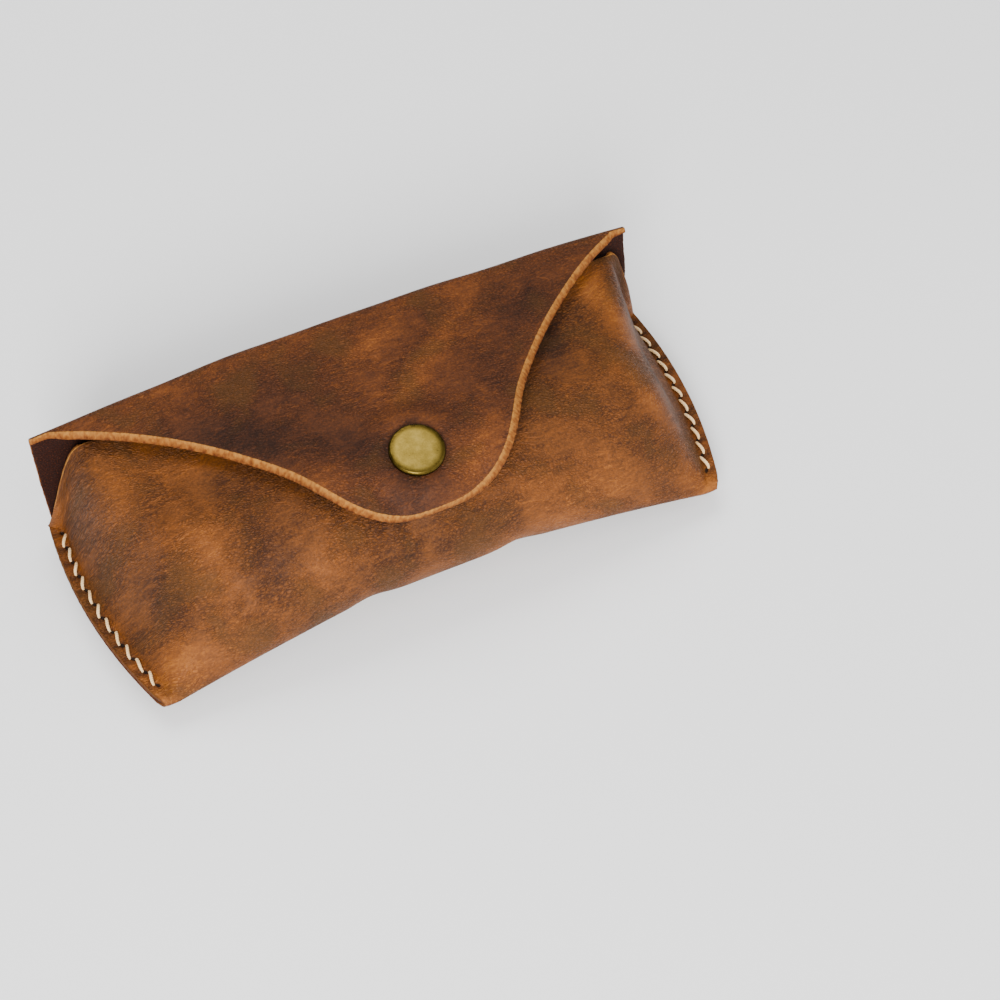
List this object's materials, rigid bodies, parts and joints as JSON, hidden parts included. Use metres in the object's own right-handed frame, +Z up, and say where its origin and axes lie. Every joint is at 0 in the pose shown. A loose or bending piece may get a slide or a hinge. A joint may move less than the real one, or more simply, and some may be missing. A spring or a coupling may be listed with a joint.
{
  "type": "eyeglasses case",
  "caption": "Folded leather eyeglasses case with hand-stitched side seams, a wavy snap flap and a riveted belt loop on the back.",
  "frame": {"origin": "bottom centre of the whole case as it lies on its back, on the outer face of the belt loop", "axes": "+X along the length, +Z up through the thickness, +Y towards the hinge ridge, -Y towards the folded bottom edge"},
  "size_m": [0.1808, 0.072, 0.0492],
  "materials": {
    "case_leather": "waxed brown pull-up leather, smooth grain outside, bare flesh side inside, raw tan cut edge",
    "strap_leather": "the same brown pull-up leather",
    "thread": "waxed cream linen thread",
    "snap_brass": "antiqued brass, satin, brighter on the rim",
    "rivet_brass": "antiqued brass, satin",
    "spring_steel": "bare spring steel"
  },
  "bodies": {
    "pouch": {"pouch": "case_leather", "thread_left": "thread", "thread_right": "thread", "snap_stud": "snap_brass", "snap_eyelet": "snap_brass", "belt_loop": "strap_leather", "rivet_cap_1": "rivet_brass", "rivet_cap_2": "rivet_brass", "rivet_cap_3": "rivet_brass", "rivet_cap_4": "rivet_brass", "rivet_post_1": "rivet_brass", "rivet_post_2": "rivet_brass", "rivet_post_3": "rivet_brass", "rivet_post_4": "rivet_brass"},
    "spine": {"spine": "case_leather"},
    "flap": {"flap": "case_leather", "snap_cap": "snap_brass", "snap_socket": "snap_brass", "snap_spring": "spring_steel"}
  },
  "joints": [
    {"name": "spine_fold", "type": "hinge", "parent": "pouch", "child": "spine", "pos_m": [0, 0.03362, 0.00718], "axis": [-1, 0, 0], "range_deg": [0, 90]},
    {"name": "flap_fold", "type": "hinge", "parent": "spine", "child": "flap", "pos_m": [0, 0.03512, 0.04542], "axis": [-1, 0, 0], "range_deg": [0, 90]}
  ]
}
